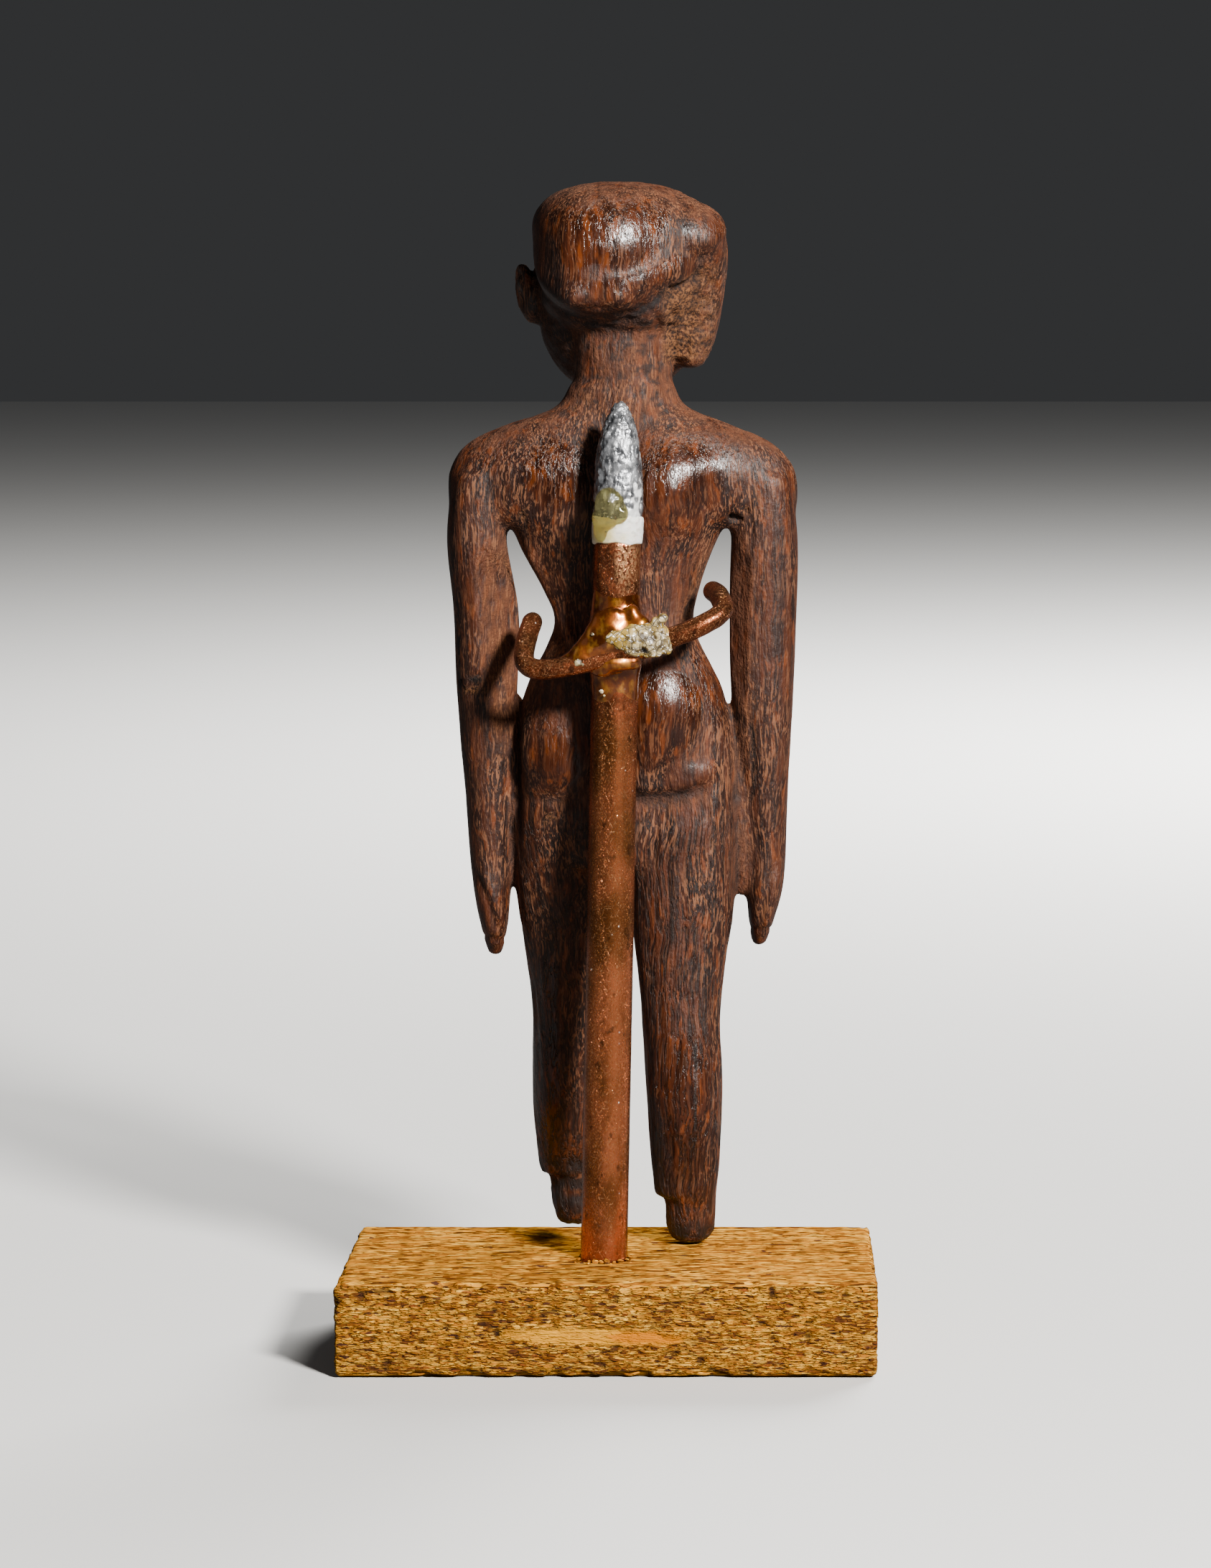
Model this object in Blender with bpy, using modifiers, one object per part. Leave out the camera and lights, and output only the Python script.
"""A carved wooden youth without feet, held at the waist by a brazed copper rod in a particle-board block.

Metres, +Z up. The figure faces -Y and the rod stands behind it, on +Y.
The origin is at the centre of the block's underside.
"""

import math

import bmesh
import bpy
import numpy as np
from mathutils import Matrix, Vector

# The block
BLOCK_LENGTH = 0.108
BLOCK_DEPTH = 0.060
BLOCK_HEIGHT = 0.019
BLOCK_END_SKEW = 0.003
BLOCK_EDGE_ROUND = 0.0007
SOCKET_FLOOR = 0.007

# The rod and what sits on it
ROD_DIAMETER = 0.0095
ROD_FOOT_X = 0.0003
ROD_FOOT_Y = 0.0044
ROD_LEAN_SIDE = math.radians(1.05)
ROD_LEAN_FORWARD = math.radians(0.5)
ROD_PAST_HOOK = 0.0225
BAND_HEIGHT = 0.0042
BAND_PROUD = 0.0003
TIP_LENGTH = 0.0235
TIP_DIAMETER = 0.0098
RESIN_DIAMETER = 0.0068
HOOK_DIAMETER = 0.0041
BRAZE_WALL = 0.0009
BRAZE_REACH = 0.0105
BRAZE_HEIGHT = 0.026
CRUST_LENGTH = 0.0135
CRUST_HEIGHT = 0.0088
CRUST_THICKNESS = 0.0011
CRUST_TILT = math.radians(9)

# The figure and the room left between pieces
FIGURE_HEIGHT = 0.217
FIGURE_X = -0.0036
FIGURE_STRIDE = 0.019
BACK_GAP = 0.0007
CLEARANCE = 0.0003

# Everything on the figure is in hundredths of its height, from its lower stump up
SHARE = FIGURE_HEIGHT / 100
FIGURE_FOOT = BLOCK_HEIGHT + CLEARANCE
WAIST = 58.6
BLADES = 73.0
HEAD_SIDE = 0.3
FRONT_STUMP = 5.4
VOXEL = 0.30 * SHARE
FACES_KEPT = 0.030
FACE_FINENESS = 0.0025

# Rows: height, offset from the middle, depth behind (+) or before (-) the back, half width, half depth
TORSO = [
    (36.0, -0.2, -4.5, 7.0, 2.9),
    (41.0, -0.2, -4.6, 9.8, 4.1),
    (45.0, -0.2, -4.7, 10.4, 4.7),
    (48.5, -0.1, -4.7, 10.2, 4.9),
    (53.0, -0.1, -4.8, 9.2, 4.8),
    (57.0, -0.1, -4.8, 7.2, 4.3),
    (59.5, -0.1, -4.8, 6.5, 4.1),
    (62.5, 0.2, -5.0, 7.4, 4.5),
    (66.0, 0.6, -5.2, 9.0, 5.0),
    (70.0, 0.4, -5.2, 10.5, 5.2),
    (74.0, 0.2, -5.0, 10.2, 4.5),
    (79.0, 0.0, -5.7, 5.2, 3.4),
]
SHOULDERS = [
    (68.0, 0.0, -5.0, 14.4, 2.8),
    (69.2, 0.0, -5.0, 16.0, 3.9),
    (71.4, 0.0, -5.0, 16.4, 4.5),
    (73.8, 0.1, -4.9, 16.0, 4.5),
    (76.0, 0.3, -5.1, 14.1, 4.0),
    (77.7, 0.4, -5.4, 10.3, 3.6),
    (79.3, 0.2, -5.6, 6.2, 3.5),
    (81.5, 0.1, -5.6, 4.8, 3.6),
]
RIGHT_ARM = [
    (73.0, -13.1, -4.8, 2.6, 3.2),
    (67.0, -13.25, -4.9, 3.1, 3.3),
    (60.0, -13.15, -4.9, 3.15, 2.9),
    (52.5, -13.1, -5.1, 2.95, 2.9),
    (44.0, -13.35, -5.7, 2.3, 2.75),
    (37.0, -13.5, -6.2, 1.9, 2.6),
    (33.5, -13.4, -6.5, 1.7, 2.8),
    (30.5, -13.1, -6.7, 1.15, 2.3),
    (28.2, -12.9, -7.0, 0.6, 1.3),
]
LEFT_ARM = [
    (73.0, 13.4, -4.8, 2.5, 3.2),
    (67.0, 13.75, -4.9, 2.8, 3.3),
    (60.0, 12.85, -4.9, 3.05, 2.9),
    (52.5, 12.8, -5.1, 2.85, 2.9),
    (44.0, 12.65, -5.7, 2.35, 2.75),
    (36.5, 12.6, -6.2, 1.85, 2.6),
    (32.5, 12.4, -6.5, 1.6, 2.8),
    (29.5, 12.2, -6.7, 1.15, 2.3),
    (27.3, 12.1, -7.0, 0.6, 1.3),
]
LEG = [
    (46.0, 5.3, -4.6, 4.6, 4.6),
    (40.0, 5.6, -4.7, 5.0, 4.3),
    (32.5, 5.6, -4.6, 4.85, 3.9),
    (28.0, 5.5, -4.4, 4.35, 3.6),
    (22.0, 5.5, -4.1, 3.7, 3.4),
    (15.0, 5.8, -3.8, 3.6, 3.5),
    (9.0, 5.9, -3.7, 3.3, 3.1),
    (4.5, 5.9, -3.8, 2.9, 2.7),
]
NECK = [
    (77.0, -0.3, -5.6, 6.0, 3.9),
    (79.8, -0.3, -5.8, 4.95, 4.0),
    (82.5, -0.3, -6.1, 4.6, 4.1),
    (86.5, -0.2, -6.5, 4.8, 4.6),
    (90.0, 0.0, -6.8, 5.4, 5.4),
]
SKULL = [
    (86.8, 0.0, -6.8, 5.8, 6.6),
    (88.6, 0.0, -7.0, 6.9, 8.0),
    (91.5, 0.0, -7.2, 7.5, 8.8),
    (94.4, 0.0, -7.3, 7.6, 9.0),
    (96.9, 0.1, -7.3, 7.45, 8.3),
    (98.7, 0.1, -7.2, 6.1, 6.9),
    (99.6, 0.1, -7.1, 4.0, 4.7),
    (100.0, 0.0, -7.0, 1.6, 2.2),
]
FACE = [
    (80.2, 0.0, -12.0, 2.2, 2.5),
    (81.2, 0.0, -11.3, 4.1, 3.9),
    (83.0, 0.0, -10.6, 6.0, 4.9),
    (86.0, 0.0, -9.9, 7.4, 5.6),
    (90.0, 0.0, -9.2, 7.6, 6.4),
    (95.0, 0.0, -8.0, 7.4, 7.6),
]
LOCK = [
    (97.8, -4.9, -8.0, 1.6, 2.6),
    (96.2, -6.6, -8.2, 2.2, 3.5),
    (93.6, -7.9, -8.4, 2.2, 3.9),
    (90.0, -7.9, -8.4, 2.1, 3.7),
    (86.5, -7.6, -8.3, 1.8, 3.2),
    (83.2, -6.9, -8.2, 1.35, 2.6),
]

# Rows: middle (side, depth, height) and half sizes, for the swellings and uncut wood that join the lofts
SWELLINGS = [
    ((-4.4, -2.6, 48.4), (4.6, 3.6, 5.4)),
    ((5.0, -2.7, 47.6), (4.7, 3.2, 4.8)),
    ((-6.3, -2.2, 72.0), (4.5, 2.4, 4.6)),
    ((6.6, -2.2, 71.7), (4.3, 2.3, 4.6)),
    ((-4.3, -7.8, 71.0), (5.4, 2.8, 3.4)),
    ((4.5, -7.8, 71.0), (5.4, 2.8, 3.4)),
    ((-0.1, -7.4, 52.5), (5.6, 2.6, 6.0)),
]
WEBS = [
    ((-11.2, -5.4, 41.6), (1.6, 1.7, 8.6)),
    ((10.4, -5.7, 44.6), (1.5, 1.8, 3.6)),
    ((10.4, -7.4, 49.2), (1.5, 1.0, 3.2)),
    ((-5.6, -7.2, 87.4), (2.8, 2.4, 4.2)),
]
# Rows: side, height, half width, half height, and how far the face is raised or sunk there
FACE_RELIEF = [
    (-3.1, 90.3, 2.4, 1.5, -0.6),
    (3.1, 90.3, 2.4, 1.5, -0.6),
    (-3.1, 90.1, 1.75, 0.75, 0.85),
    (3.1, 90.1, 1.75, 0.75, 0.85),
    (-3.4, 92.4, 2.6, 0.5, 0.25),
    (3.4, 92.4, 2.6, 0.5, 0.25),
    (-4.6, 86.8, 1.9, 2.0, 0.3),
    (4.6, 86.8, 1.9, 2.0, 0.3),
    (0.0, 84.3, 3.0, 1.5, 0.45),
    (0.0, 84.85, 2.1, 0.4, 0.4),
    (0.0, 83.75, 1.7, 0.4, 0.45),
    (0.0, 82.75, 1.9, 0.35, -0.35),
    (0.0, 81.6, 1.8, 0.9, 0.45),
]
NOSE = [
    (91.4, 0.0, -15.0, 0.6, 0.8),
    (89.6, 0.0, -15.2, 0.65, 1.1),
    (87.8, 0.0, -15.3, 0.95, 1.5),
    (86.8, 0.0, -15.3, 1.3, 1.45),
    (86.2, 0.0, -15.2, 1.05, 0.8),
]
EAR = ((8.7, -7.8, 90.2), (0.85, 1.7, 3.0))
EAR_TURN = math.radians(28)
EAR_TILT = math.radians(9)


def material(name, colour, roughness, metallic=0.0, transmission=0.0):
    made = bpy.data.materials.new(name)
    made.use_nodes = True
    shader = made.node_tree.nodes["Principled BSDF"]
    shader.inputs["Base Color"].default_value = (*colour, 1.0)
    shader.inputs["Roughness"].default_value = roughness
    shader.inputs["Metallic"].default_value = metallic
    shader.inputs["Transmission Weight"].default_value = transmission
    return made


def new_object(name, mesh, collection, finish=None):
    made = bpy.data.objects.new(name, mesh)
    collection.objects.link(made)
    if finish:
        mesh.materials.append(finish)
    return made


def cutter(name, mesh):
    made = new_object(name, mesh, cutters)
    made.hide_render = True
    made.display_type = "WIRE"
    return made


def mesh_from(work, name):
    """Turns a bmesh into a mesh with its faces pointing out and smoothly shaded."""
    bmesh.ops.recalc_face_normals(work, faces=work.faces)
    mesh = bpy.data.meshes.new(name)
    work.to_mesh(mesh)
    work.free()
    mesh.shade_smooth()
    return mesh


def evaluated_mesh(source, name):
    """The mesh of an object with its modifiers applied; the object itself is removed."""
    graph = bpy.context.evaluated_depsgraph_get()
    mesh = bpy.data.meshes.new_from_object(source.evaluated_get(graph))
    mesh.name = name
    bpy.data.objects.remove(source)
    return mesh


def subtract(target, tool):
    cut = target.modifiers.new("cut_" + tool.name, "BOOLEAN")
    cut.operation = "DIFFERENCE"
    cut.object = tool


def rod_axis(height):
    """The middle of the leaning rod at a height above the floor."""
    above = height - BLOCK_HEIGHT
    return Vector((
        ROD_FOOT_X - above * math.tan(ROD_LEAN_SIDE),
        ROD_FOOT_Y - above * math.tan(ROD_LEAN_FORWARD),
        height,
    ))


def figure_point(side, depth, height):
    """A place on the figure, given in hundredths of its height."""
    return Vector((
        FIGURE_X + side * SHARE,
        FIGURE_BACK + depth * SHARE,
        FIGURE_FOOT + height * SHARE,
    ))


def smooth_rows(rows, steps):
    """Rows in between the given ones, on a smooth curve that passes through each."""
    rows = np.array(rows)
    padded = np.vstack([2 * rows[0] - rows[1], rows, 2 * rows[-1] - rows[-2]])
    made = []
    for before, start, end, after in zip(padded, padded[1:], padded[2:], padded[3:]):
        for t in np.arange(steps) / steps:
            bend = 2 * before - 5 * start + 4 * end - after
            twist = 3 * (start - end) + after - before
            made.append(start + 0.5 * t * (end - before + t * (bend + t * twist)))
    return made + [rows[-1]]


def ring(work, centre, half_width, half_depth, sides, squareness):
    """A level ring of points on a superellipse."""
    points = []
    for step in range(sides):
        angle = math.tau * step / sides
        across = math.copysign(abs(math.cos(angle)) ** (2 / squareness), math.cos(angle))
        along = math.copysign(abs(math.sin(angle)) ** (2 / squareness), math.sin(angle))
        points.append(work.verts.new(centre + Vector((half_width * across, half_depth * along, 0))))
    return points


def loft(work, rows, place, scale, sides=28, steps=4, squareness=2.3):
    """A closed body through level rings."""
    rings = []
    for height, side, depth, half_width, half_depth in smooth_rows(rows, steps):
        centre = place(side, depth, height)
        rings.append(ring(work, centre, half_width * scale, half_depth * scale, sides, squareness))
    for lower, upper in zip(rings, rings[1:]):
        for one in range(sides):
            other = (one + 1) % sides
            work.faces.new((lower[one], lower[other], upper[other], upper[one]))
    work.faces.new(rings[0])
    work.faces.new(rings[-1])


def ellipsoid(work, middle, half_sizes, turn=None):
    matrix = Matrix.Translation(middle) @ (turn or Matrix()) @ Matrix.Diagonal((*half_sizes, 1.0))
    bmesh.ops.create_uvsphere(work, u_segments=20, v_segments=12, radius=1.0, matrix=matrix)


def tilted_cylinder(radius, low, high, name, sides=32):
    """A cylinder along the rod's axis between two heights."""
    start = rod_axis(low)
    end = rod_axis(high)
    work = bmesh.new()
    turn = (end - start).to_track_quat("Z", "Y").to_matrix().to_4x4()
    matrix = Matrix.Translation((start + end) / 2) @ turn
    bmesh.ops.create_cone(
        work,
        cap_ends=True,
        segments=sides,
        radius1=radius,
        radius2=radius,
        depth=(end - start).length,
        matrix=matrix,
    )
    mesh = mesh_from(work, name)
    mesh.set_sharp_from_angle(angle=math.radians(40))
    return mesh


def soft_union(work, name, voxel, smoothing, kept):
    """Joins overlapping closed bodies into one skin, rounds their joints and thins out the faces."""
    rough = new_object(name, mesh_from(work, name), parts)
    remesh = rough.modifiers.new("join", "REMESH")
    remesh.mode = "VOXEL"
    remesh.voxel_size = voxel
    remesh.use_smooth_shade = True
    smooth = rough.modifiers.new("round", "SMOOTH")
    smooth.factor = 0.5
    smooth.iterations = smoothing
    if kept < 1:
        thin = rough.modifiers.new("thin", "DECIMATE")
        thin.ratio = kept
        thin.use_collapse_triangulate = True
    return evaluated_mesh(rough, name)


def swell(mesh, amount):
    """Moves every point of a mesh out along its normal."""
    normals = [vertex.normal.copy() for vertex in mesh.vertices]
    for vertex, normal in zip(mesh.vertices, normals):
        vertex.co += normal * amount
    return mesh


def tube_along(points, radius, name):
    """A round bar through a smooth curve, as a mesh with welded caps."""
    curve = bpy.data.curves.new(name, "CURVE")
    curve.dimensions = "3D"
    curve.bevel_depth = radius
    curve.bevel_resolution = 3
    curve.use_fill_caps = True
    spline = curve.splines.new("POLY")
    spline.points.add(len(points) - 1)
    for target, point in zip(spline.points, points):
        target.co = (*point, 1.0)
    mesh = evaluated_mesh(new_object(name, curve, parts), name)
    work = bmesh.new()
    work.from_mesh(mesh)
    bmesh.ops.remove_doubles(work, verts=work.verts, dist=radius / 50)
    bpy.data.meshes.remove(mesh)
    return mesh_from(work, name)


def make_block():
    finish = material("particle_board", (0.50, 0.32, 0.13), 0.85)
    work = bmesh.new()
    bmesh.ops.create_cube(work, size=1.0)
    for vertex in work.verts:
        across = BLOCK_LENGTH / 2
        if vertex.co.y < 0:
            across += -BLOCK_END_SKEW if vertex.co.x > 0 else BLOCK_END_SKEW / 2
        vertex.co = (
            math.copysign(across, vertex.co.x),
            math.copysign(BLOCK_DEPTH / 2, vertex.co.y),
            BLOCK_HEIGHT * (vertex.co.z + 0.5),
        )
    block = new_object("base_block", mesh_from(work, "base_block"), parts, finish)
    edges = block.modifiers.new("worn_edges", "BEVEL")
    edges.width = BLOCK_EDGE_ROUND
    edges.segments = 2
    socket = tilted_cylinder(
        ROD_DIAMETER / 2 + CLEARANCE, SOCKET_FLOOR, BLOCK_HEIGHT + ROD_DIAMETER, "socket_cutter"
    )
    subtract(block, cutter("socket_cutter", socket))


def make_rod():
    finish = material("copper_rod", (0.42, 0.17, 0.08), 0.38, metallic=0.9)
    mesh = tilted_cylinder(ROD_DIAMETER / 2, SOCKET_FLOOR + CLEARANCE, ROD_TOP, "mount_rod")
    new_object("mount_rod", mesh, parts, finish)


def hook_route():
    """The bar crosses behind the rod, rising to the figure's right, and both ends turn up and forward."""
    crossing = rod_axis(HOOK_CROSSING)
    behind = crossing.y + ROD_DIAMETER / 2 + HOOK_DIAMETER / 2 + CLEARANCE
    left_tip = figure_point(8.3, -1.6, WAIST + 1.1)
    right_tip = figure_point(-8.2, -1.6, WAIST + 3.6)
    left_bend = figure_point(9.1, 0.0, WAIST - 2.9)
    right_bend = figure_point(-8.95, 0.0, WAIST + 1.9)
    corners = [
        left_tip,
        Vector((left_bend.x, (left_tip.y + behind) / 2, left_bend.z + 1.5 * SHARE)),
        Vector((left_bend.x - 0.2 * SHARE, behind - HOOK_DIAMETER / 2, left_bend.z)),
        Vector((left_bend.x - 2.4 * SHARE, behind, left_bend.z - 0.3 * SHARE)),
        Vector((crossing.x, behind, HOOK_CROSSING)),
        Vector((right_bend.x + 3.0 * SHARE, behind, right_bend.z - 1.6 * SHARE)),
        Vector((right_bend.x, behind - HOOK_DIAMETER / 2, right_bend.z)),
        Vector((right_bend.x, (right_tip.y + behind) / 2, right_bend.z + 1.2 * SHARE)),
        right_tip,
    ]
    return [Vector(row) for row in smooth_rows([tuple(corner) for corner in corners], 4)]


def make_hook(route):
    finish = material("copper_hook", (0.36, 0.14, 0.07), 0.42, metallic=0.85)
    mesh = tube_along(route, HOOK_DIAMETER / 2, "waist_hook")
    new_object("waist_hook", mesh, parts, finish)


def braze_body(work, route):
    """A skin that flares from the rod to the crossing, and a fillet that runs out along the bar."""
    rod = ROD_DIAMETER / 2
    half = BRAZE_HEIGHT / 2
    flare = [
        (-1.0, 0.4, 0.0),
        (-0.6, 0.7, 0.1),
        (-0.25, 1.3, 0.4),
        (0.15, 2.2, 0.9),
        (0.45, 1.2, 0.5),
        (0.75, 0.7, 0.2),
        (1.0, 0.4, 0.0),
    ]
    rows = [
        (half * level, 0.0, BRAZE_WALL * lift, rod + BRAZE_WALL * walls, rod + BRAZE_WALL * walls)
        for level, walls, lift in flare
    ]

    def place(side, depth, height):
        return rod_axis(HOOK_CROSSING + height) + Vector((side, depth, 0))

    loft(work, rows, place, 1.0, sides=24)
    crossing = rod_axis(HOOK_CROSSING)
    bar = HOOK_DIAMETER / 2 + BRAZE_WALL * 1.5
    for point in route:
        near = 1 - abs(point.x - crossing.x) / BRAZE_REACH
        if near > 0:
            rise = HOOK_DIAMETER * near ** 1.5
            ellipsoid(work, point, (BRAZE_REACH * 0.4, bar, bar))
            lifted = point + Vector((0, -BRAZE_WALL * near, 0.5 * rise))
            ellipsoid(work, lifted, (BRAZE_REACH * 0.35, bar * 0.95, bar + 0.3 * rise))


def make_braze(route):
    finish = material("braze", (0.52, 0.24, 0.07), 0.22, metallic=0.85)
    work = bmesh.new()
    braze_body(work, route)
    mesh = soft_union(work, "braze_joint", BRAZE_WALL * 0.8, 2, 0.2)
    joint = new_object("braze_joint", mesh, parts, finish)
    half = BRAZE_HEIGHT
    through = tilted_cylinder(
        ROD_DIAMETER / 2 + CLEARANCE, HOOK_CROSSING - half, HOOK_CROSSING + half, "rod_cutter"
    )
    subtract(joint, cutter("rod_cutter", through))
    bar = tube_along(route, HOOK_DIAMETER / 2 + CLEARANCE, "bar_cutter")
    subtract(joint, cutter("bar_cutter", bar))
    return mesh


def make_crust(braze_mesh, route):
    finish = material("flux_crust", (0.55, 0.53, 0.40), 0.75)
    crossing = rod_axis(HOOK_CROSSING)
    behind = max(point.y for point in route) + HOOK_DIAMETER / 2 + BRAZE_WALL
    work = bmesh.new()
    middle = crossing + Vector((-CRUST_LENGTH * 0.33, 0, CRUST_HEIGHT * 0.38))
    middle.y = behind
    half = (CRUST_LENGTH / 2, CRUST_THICKNESS * 1.5, CRUST_HEIGHT / 2)
    ellipsoid(work, middle, half, Matrix.Rotation(CRUST_TILT, 4, "Y"))
    spur = middle + Vector((-CRUST_LENGTH * 0.36, 0, CRUST_HEIGHT * 0.45))
    ellipsoid(work, spur, (CRUST_THICKNESS * 1.2, CRUST_THICKNESS * 1.3, CRUST_THICKNESS * 1.3))
    mesh = soft_union(work, "flux_crust", CRUST_THICKNESS * 0.6, 2, 0.2)
    crust = new_object("flux_crust", mesh, parts, finish)
    bed = swell(braze_mesh.copy(), CLEARANCE * 1.3)
    subtract(crust, cutter("crust_bed_cutter", bed))
    subtract(crust, bpy.data.objects["bar_cutter"])


def make_band():
    finish = material("white_putty", (0.80, 0.80, 0.76), 0.5)
    radius = ROD_DIAMETER / 2 + BAND_PROUD
    low = ROD_TOP + CLEARANCE
    mesh = tilted_cylinder(radius, low, ROD_TOP + BAND_HEIGHT - CLEARANCE, "putty_band")
    new_object("putty_band", mesh, parts, finish)


def tip_mesh(name, extra=0.0):
    rows = [
        (0.0, 0.0, 0.0, 0.50, 0.50),
        (0.25, 0.0, 0.0, 0.50, 0.50),
        (0.50, 0.0, 0.0, 0.475, 0.475),
        (0.72, 0.0, 0.0, 0.37, 0.37),
        (0.90, 0.0, 0.0, 0.22, 0.22),
        (1.0, 0.0, 0.0, 0.07, 0.07),
    ]

    def place(side, depth, height):
        return rod_axis(ROD_TOP + BAND_HEIGHT + height * TIP_LENGTH)

    work = bmesh.new()
    loft(work, rows, place, TIP_DIAMETER + 2 * extra, sides=20, steps=2, squareness=2.0)
    return mesh_from(work, name)


def make_tip():
    finish = material("grey_tip", (0.30, 0.31, 0.32), 0.5, metallic=0.4)
    new_object("rod_tip", tip_mesh("rod_tip"), parts, finish)


def make_resin():
    finish = material("resin", (0.62, 0.56, 0.25), 0.15, transmission=0.6)
    low = rod_axis(ROD_TOP + BAND_HEIGHT)
    work = bmesh.new()
    radius = RESIN_DIAMETER / 2
    outward = TIP_DIAMETER / 2 - radius * 0.25
    middle = low + Vector((radius * 0.55, outward, radius * 0.75))
    ellipsoid(work, middle, (radius, radius * 0.6, radius * 1.15))
    run = low + Vector((radius * 0.95, outward * 0.93, -radius * 0.2))
    ellipsoid(work, run, (radius * 0.5, radius * 0.35, radius * 0.75))
    mesh = soft_union(work, "resin_blob", radius * 0.16, 2, 0.25)
    blob = new_object("resin_blob", mesh, parts, finish)
    subtract(blob, cutter("tip_bed_cutter", tip_mesh("tip_bed_cutter", CLEARANCE)))
    around = ROD_DIAMETER / 2 + BAND_PROUD + CLEARANCE
    collar = tilted_cylinder(around, ROD_TOP - RESIN_DIAMETER, ROD_TOP + BAND_HEIGHT, "band_bed_cutter")
    subtract(blob, cutter("band_bed_cutter", collar))


def leg_rows(side, squeeze=1.0, drift=0.0, stride=0.0):
    """A leg's rows on either side; its drift inward and its stride grow from the hip down."""
    top = LEG[0][0]
    made = []
    for height, offset, depth, half_width, half_depth in LEG:
        below = (top - height) / top
        middle = side * (offset - drift * below)
        made.append((height, middle, depth - stride * below, half_width * squeeze, half_depth))
    return made


def stump(work, rows, lowest, inward):
    """What is left of an ankle below the last whole ring: a narrower, rounded end."""
    height, side, depth, half_width, half_depth = rows[-1]
    drop = (height - lowest) / 2
    narrow = half_width * 0.82
    side += inward * (half_width - narrow)
    body = [
        (height + 2, side, depth, narrow, half_depth * 0.9),
        (height - drop, side, depth - 0.1, narrow * 0.98, half_depth * 0.85),
        (lowest + 0.5, side, depth - 0.2, narrow * 0.8, half_depth * 0.66),
        (lowest, side, depth - 0.3, narrow * 0.4, half_depth * 0.32),
    ]
    loft(work, body, figure_point, SHARE)


def figure_body(work):
    loft(work, TORSO, figure_point, SHARE, squareness=2.4)
    loft(work, SHOULDERS, figure_point, SHARE, squareness=2.2)
    loft(work, RIGHT_ARM, figure_point, SHARE)
    loft(work, LEFT_ARM, figure_point, SHARE)
    stride = FIGURE_STRIDE / SHARE
    right_leg = leg_rows(-1)
    left_leg = leg_rows(1, squeeze=0.96, drift=0.9, stride=stride)
    loft(work, right_leg, figure_point, SHARE)
    loft(work, left_leg[:-1] + [(FRONT_STUMP, *left_leg[-1][1:])], figure_point, SHARE)
    stump(work, right_leg, 0.0, -1)
    stump(work, [(FRONT_STUMP, *left_leg[-1][1:])], 0.2, -1)

    def head_point(side, depth, height):
        return figure_point(side + HEAD_SIDE, depth, height)

    loft(work, NECK, head_point, SHARE, squareness=2.1)
    loft(work, SKULL, head_point, SHARE)
    loft(work, FACE, head_point, SHARE)
    loft(work, LOCK, head_point, SHARE, squareness=2.8)
    for middle, half_sizes in SWELLINGS + WEBS:
        ellipsoid(work, figure_point(*middle), [size * SHARE for size in half_sizes])
    loft(work, NOSE, head_point, SHARE, sides=16)
    middle, half_sizes = EAR
    turn = Matrix.Rotation(EAR_TURN, 4, "Z") @ Matrix.Rotation(EAR_TILT, 4, "Y")
    ellipsoid(work, head_point(*middle), [size * SHARE for size in half_sizes], turn)


def ramp(value, low, high):
    """0 below low, 1 above high, and a smooth rise between."""
    t = np.clip((value - low) / (high - low), 0.0, 1.0)
    return t * t * (3 - 2 * t)


def bump(value, middle, half):
    """1 at the middle, falling smoothly to 0."""
    return np.exp(-(((value - middle) / half) ** 2))


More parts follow.
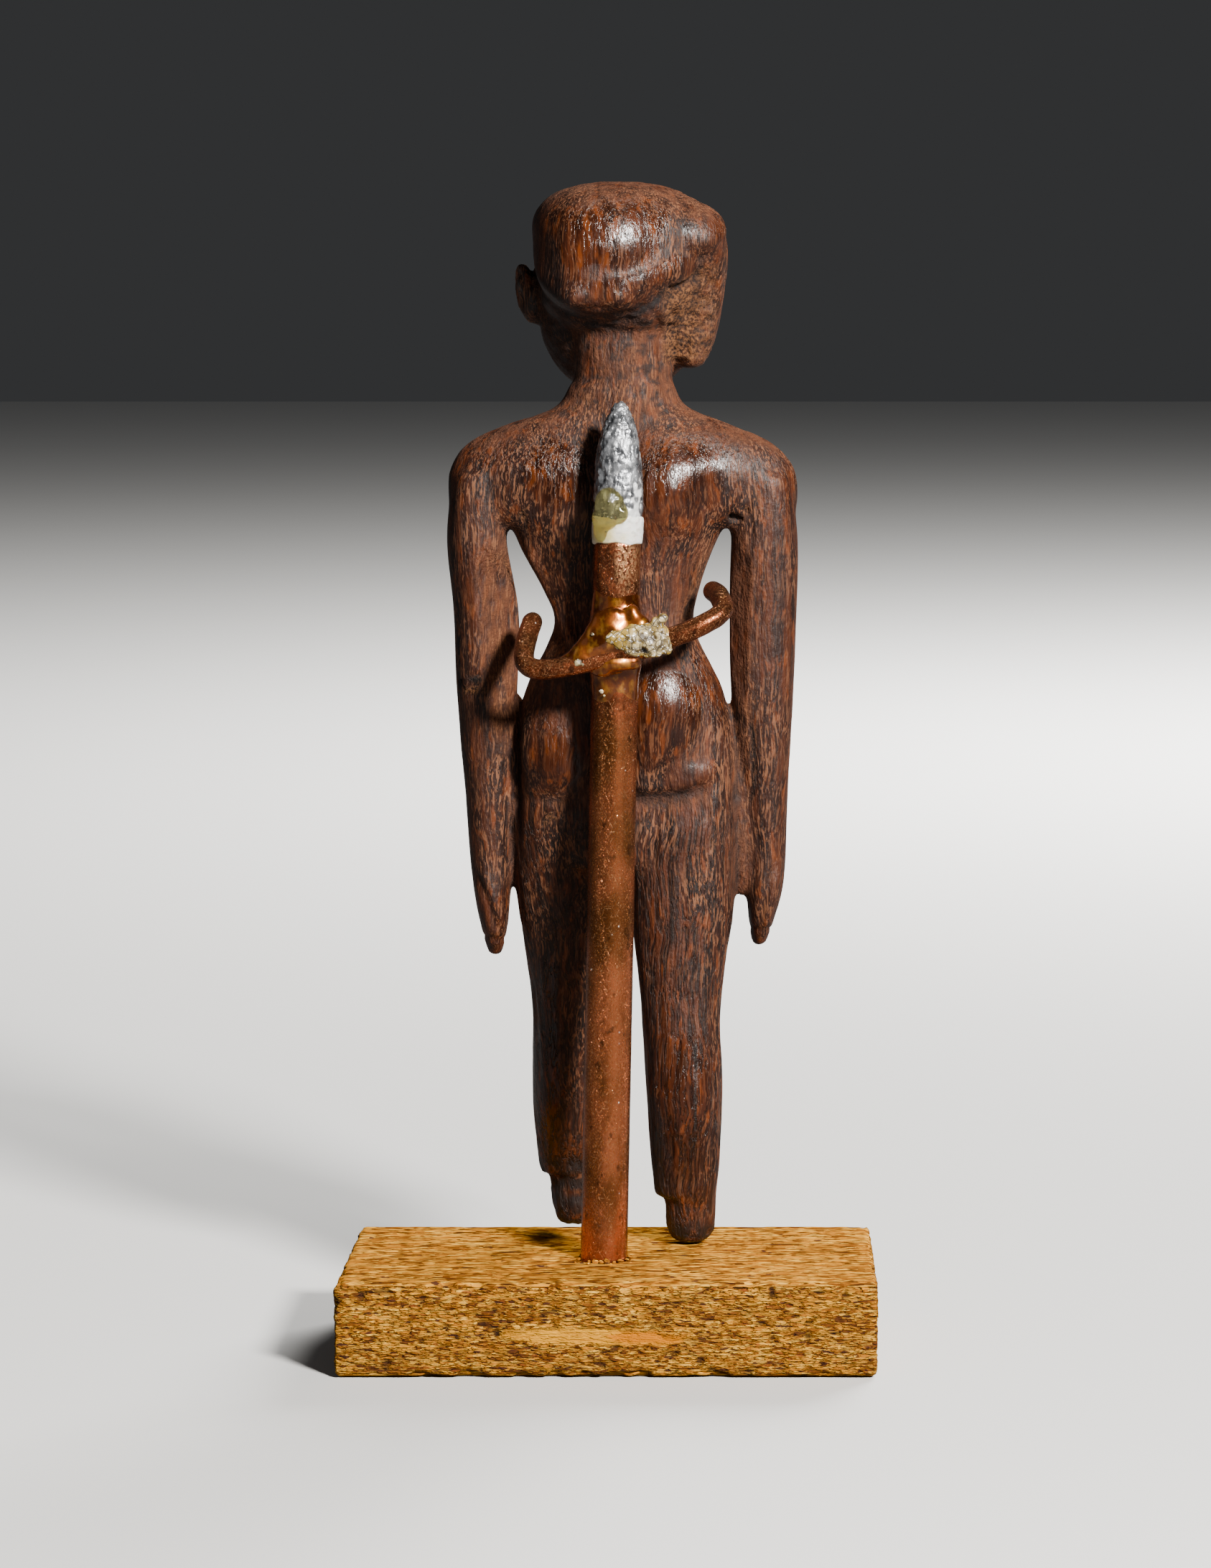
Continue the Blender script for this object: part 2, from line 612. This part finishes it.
def carve(mesh):
    """Spine, fold, hair edge and hands: shallow carving as moves along the surface's normal."""
    count = len(mesh.vertices)
    points = np.empty(count * 3)
    mesh.vertices.foreach_get("co", points)
    points = points.reshape(-1, 3)
    normals = np.array([vertex.normal[:] for vertex in mesh.vertices])
    side = (points[:, 0] - FIGURE_X) / SHARE
    depth = (points[:, 1] - FIGURE_BACK) / SHARE
    height = (points[:, 2] - FIGURE_FOOT) / SHARE
    back = ramp(normals[:, 1], 0.1, 0.6)
    move = -0.45 * bump(side, 0.1, 1.5) * back * ramp(height, 52, 56) * (1 - ramp(height, 76, 79))
    move += -0.9 * bump(side, -0.1, 0.8) * back * ramp(height, 41, 44) * (1 - ramp(height, 50, 53))
    fold = bump(height, 42.9, 0.45) + 0.6 * ramp(height, 38, 42) * (1 - ramp(height, 42.5, 43.1))
    right_side = ramp(-side, -1.5, 1.5) * (1 - ramp(-side, 9.0, 10.5))
    move += -0.6 * fold * back * right_side
    around = np.arctan2(side - HEAD_SIDE, depth + 7.2)
    edge = 93.0 - 4.3 * np.cos(around) - 1.3 * np.cos(2 * around)
    head = ramp(height, 84, 86) * (1 - ramp(np.abs(side), 8.6, 9.6))
    move += 0.6 * ramp(height, edge - 0.2, edge + 0.5) * head
    front = ramp(-normals[:, 1], 0.2, 0.6)
    move += -0.8 * front * bump(side, 0, 0.6) * bump(height, 55.5, 0.6)
    for across, level, half_width, half_height, amount in FACE_RELIEF:
        spot = bump(side - HEAD_SIDE, across, half_width) * bump(height, level, half_height)
        move += amount * front * spot
    points += normals * (move * SHARE)[:, None]
    lowest = points[:, 2].min()
    highest = points[:, 2].max()
    points[:, 2] = FIGURE_FOOT + (points[:, 2] - lowest) * FIGURE_HEIGHT / (highest - lowest)
    mesh.vertices.foreach_set("co", points.reshape(-1))
    mesh.update()


def in_face(vertex):
    height = (vertex.co.z - FIGURE_FOOT) / SHARE
    side = abs((vertex.co.x - FIGURE_X) / SHARE - HEAD_SIDE)
    return 80.5 < height < 93.5 and side < 6 and vertex.normal.y < -0.4


def make_figure():
    finish = material("dark_wood", (0.11, 0.045, 0.025), 0.45)
    work = bmesh.new()
    figure_body(work)
    mesh = soft_union(work, "figure", VOXEL, 6, 1.0)
    carve(mesh)
    figure = new_object("figure", mesh, parts, finish)
    plain = figure.vertex_groups.new(name="plain")
    plain.add([vertex.index for vertex in mesh.vertices if not in_face(vertex)], 1.0, "ADD")
    plain.add([vertex.index for vertex in mesh.vertices if in_face(vertex)], 0.5, "ADD")
    thin = figure.modifiers.new("thin", "DECIMATE")
    thin.ratio = FACES_KEPT
    thin.use_collapse_triangulate = True
    thin.vertex_group = plain.name
    thin.vertex_group_factor = FACE_FINENESS


for leftover in list(bpy.data.objects):
    bpy.data.objects.remove(leftover)

parts = bpy.data.collections.new("wooden_youth_figure")
cutters = bpy.data.collections.new("cutters")
bpy.context.scene.collection.children.link(parts)
bpy.context.scene.collection.children.link(cutters)

HOOK_CROSSING = FIGURE_FOOT + (WAIST - 1.9) * SHARE
ROD_TOP = HOOK_CROSSING + ROD_PAST_HOOK
BLADE_HEIGHT = FIGURE_FOOT + BLADES * SHARE
FIGURE_BACK = rod_axis(BLADE_HEIGHT).y - max(ROD_DIAMETER, TIP_DIAMETER) / 2 - BACK_GAP

make_block()
make_rod()
bar_route = hook_route()
make_hook(bar_route)
braze = make_braze(bar_route)
make_crust(braze, bar_route)
make_band()
make_tip()
make_resin()
make_figure()
